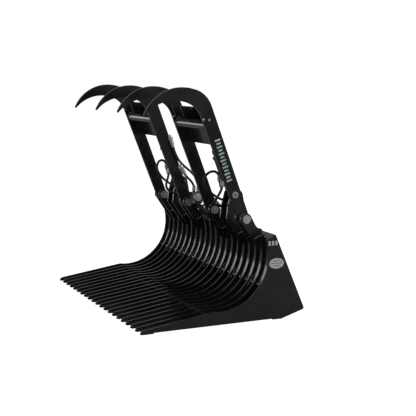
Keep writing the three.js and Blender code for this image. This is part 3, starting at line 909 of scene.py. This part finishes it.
@dataclass
class PlainMarks:
    """Plain painted marks without lettering on the right-hand plates."""

    proud: float = 0.35

    def _patch(
        self, name: str, finish: str, body: str, x: float, corners: list[tuple[float, float]]
    ) -> bpy.types.Object:
        """Builds a thin flat patch on a plate's outer face.

        Args:
            name: Name of the piece.
            finish: Name of its material.
            body: Body it rides on.
            x: Place of the plate's face, in millimetres.
            corners: The patch's (y, z) corners, in millimetres.

        Returns:
            The piece.
        """
        bm = bmesh.new()
        face = bm.faces.new([bm.verts.new(at(x, y, z)) for y, z in corners])
        made = bmesh.ops.extrude_face_region(bm, geom=[face])
        verts = [v for v in made["geom"] if isinstance(v, bmesh.types.BMVert)]
        bmesh.ops.translate(bm, verts=verts, vec=(self.proud * MM, 0, 0))
        bmesh.ops.recalc_face_normals(bm, faces=bm.faces)
        return to_object(bm, name, finish, body)

    @staticmethod
    def _round(
        y: float, z: float, radius: float, height: float = 0.0, sides: int = 32
    ) -> list[tuple[float, float]]:
        """Corners of a round or oval patch."""
        turns = [math.tau * i / sides for i in range(sides)]
        return [(y + radius * math.cos(a), z + (height or radius) * math.sin(a)) for a in turns]

    def build(self) -> list[bpy.types.Object]:
        """Builds the claw's bars and roundel and the side plate's roundel and bars."""
        made = []
        claw, plate = 687.5, 838.0
        top, low = (570.0, 1128.0), (658.0, 857.0)
        along = Vector((low[0] - top[0], low[1] - top[1])).normalized()
        across = Vector((-along.y, along.x))
        length = math.dist(top, low)
        count = 13
        for bar in range(count):
            begin = length * bar / count
            end = begin + length / count * 0.5
            a, b = Vector(top) + along * begin, Vector(top) + along * end
            half = across * (19 - 5 * (bar % 2))
            corners = [tuple(a - half), tuple(b - half), tuple(b + half), tuple(a + half)]
            made.append(self._patch(f"claw_bar_mark_{bar}", "worn_pale_stencil_paint",
                                    "right_lid", claw, corners))
        made.append(self._patch("claw_roundel_rim", "worn_pale_stencil_paint", "right_lid", claw,
                                self._round(695.5, 779.5, 21)))
        made.append(self._patch("claw_roundel", "plate_sticker_tan", "right_lid", claw + self.proud,
                                self._round(695.5, 779.5, 13)))
        made.append(self._patch("side_oval_mark", "worn_pale_stencil_paint", "bucket", plate,
                                self._round(908, 358, 52, 33)))
        for stripe, reach in enumerate((26, 40, 26)):
            z = 358 + (stripe - 1) * 16
            near, far = 908 - reach, 908 + reach
            corners = [(near, z - 3.5), (far, z - 3.5), (far, z + 3.5), (near, z + 3.5)]
            made.append(self._patch(f"side_stripe_mark_{stripe}", "plate_sticker_orange", "bucket",
                                    plate + self.proud, corners))
        for block in range(3):
            y = 850 + block * 24
            corners = [(y, 472), (y + 15, 472), (y + 15, 500), (y, 500)]
            made.append(self._patch(f"side_block_mark_{block}", "worn_pale_stencil_paint",
                                    "bucket", plate, corners))
        return made


@dataclass
class Studio:
    """Floor, lights and camera."""

    camera_place: tuple[float, float, float] = (6.0517, -2.5490, 1.5380)
    camera_turn: tuple[float, float, float] = (82.02, 0.0, 65.153)
    lens: float = 84.2

    def build(self, ground: float) -> None:
        """Builds the floor, the soft lights and the camera.

        Args:
            ground: Height of the floor, in metres.
        """
        self._floor(ground)
        self._soft_box("front_left_key", (-4.6, -3.6, 1.3), (0, -0.1, 1.0), 4.6, 48.0, 1.7)
        self._soft_box("overhead_fill", (0.2, -0.6, 4.6), (0, 0, 0.4), 4.0, 45.0)
        self._soft_box("right_rim", (3.4, 4.2, 2.8), (0, 0, 0.6), 2.6, 70.0)
        self._soft_box("camera_side_fill", (6.6, -0.6, 3.4), (0, 0, 0.6), 2.4, 22.0)
        self._world()
        self._camera()
        bpy.context.scene.view_settings.view_transform = "Standard"

    def _floor(self, ground: float) -> None:
        """A plain pale floor."""
        bm = bmesh.new()
        bmesh.ops.create_grid(
            bm, x_segments=1, y_segments=1, size=40, matrix=Matrix.Translation((0, 0, ground))
        )
        mesh = bpy.data.meshes.new("studio_floor")
        bm.to_mesh(mesh)
        bm.free()
        pale = bpy.data.materials.new("pale_floor")
        pale.use_nodes = True
        shader = pale.node_tree.nodes["Principled BSDF"]
        shader.inputs["Base Color"].default_value = (0.4, 0.4, 0.4, 1)
        shader.inputs["Roughness"].default_value = 0.9
        shader.inputs["Specular IOR Level"].default_value = 0.0
        shader.inputs["Emission Color"].default_value = (1, 1, 1, 1)
        seen = pale.node_tree.nodes.new("ShaderNodeMapRange")
        seen.inputs["To Max"].default_value = 1.0
        rays = pale.node_tree.nodes.new("ShaderNodeLightPath")
        pale.node_tree.links.new(rays.outputs["Is Camera Ray"], seen.inputs["Value"])
        pale.node_tree.links.new(seen.outputs["Result"], shader.inputs["Emission Strength"])
        mesh.materials.append(pale)
        floor = bpy.data.objects.new("studio_floor", mesh)
        bpy.context.scene.collection.objects.link(floor)

    @staticmethod
    def _soft_box(
        name: str,
        place: tuple[float, ...],
        target: tuple[float, ...],
        width: float,
        power: float,
        height: float | None = None,
    ) -> None:
        """Adds a soft light aimed at a point.

        Args:
            name: Name of the light.
            place: Where it stands, in metres.
            target: The point it faces.
            width: Its width, in metres.
            power: Its power, in watts.
            height: Its height, in metres; the width if not given.
        """
        data = bpy.data.lights.new(name, "AREA")
        data.shape = "RECTANGLE"
        data.size = width
        data.size_y = height or width
        data.energy = power
        lamp = bpy.data.objects.new(name, data)
        lamp.location = place
        lamp.rotation_euler = (Vector(target) - Vector(place)).to_track_quat("-Z", "Y").to_euler()
        lamp.visible_camera = False
        bpy.context.scene.collection.objects.link(lamp)

    @staticmethod
    def _world() -> None:
        """White surroundings for the camera, dimmer ones for the light."""
        world = bpy.data.worlds.new("studio_surround")
        bpy.context.scene.world = world
        world.use_nodes = True
        tree = world.node_tree
        back = tree.nodes["Background"]
        back.inputs["Color"].default_value = (1, 1, 1, 1)
        seen = tree.nodes.new("ShaderNodeMapRange")
        seen.inputs["To Min"].default_value = 0.28
        seen.inputs["To Max"].default_value = 1.0
        rays = tree.nodes.new("ShaderNodeLightPath")
        tree.links.new(rays.outputs["Is Camera Ray"], seen.inputs["Value"])
        tree.links.new(seen.outputs["Result"], back.inputs["Strength"])

    def _camera(self) -> None:
        """The camera, without depth of field or shift."""
        data = bpy.data.cameras.new("view_camera")
        data.lens = self.lens
        data.sensor_width = 36.0
        camera = bpy.data.objects.new("view_camera", data)
        camera.location = self.camera_place
        camera.rotation_euler = tuple(math.radians(a) for a in self.camera_turn)
        bpy.context.scene.collection.objects.link(camera)
        bpy.context.scene.camera = camera


def main() -> None:
    """Builds every sub-assembly."""
    logging.basicConfig(level=logging.INFO, format="%(message)s")
    build_weathering_group()
    build_edge_group()
    for finish in FINISHES:
        finish.build()
    assemblies: list = [BucketShell()]
    for place, x in CLAW_X.items():
        assemblies.append(Bracket(place, x, PIVOT, 38.0, (53.65, 27.0), f"pin_{place}"))
    for side in Side:
        x = side.value * LID_X
        place = f"{side.word}_cylinder"
        assemblies.append(Bracket(place, x, BASE_PIN, 47.0, (62.65, 24.0), f"pin_{place}"))
    assemblies += [Lid(side) for side in Side]
    assemblies += [Cylinder(side) for side in Side]
    assemblies += [HoseSet(), PlainMarks()]
    for assembly in assemblies:
        for piece in assembly.build():
            log.info("%s: %s", type(assembly).__name__, piece.name)
    Studio().build(CAD_BOX[0].z - 0.0004)


if __name__ == "__main__":
    main()
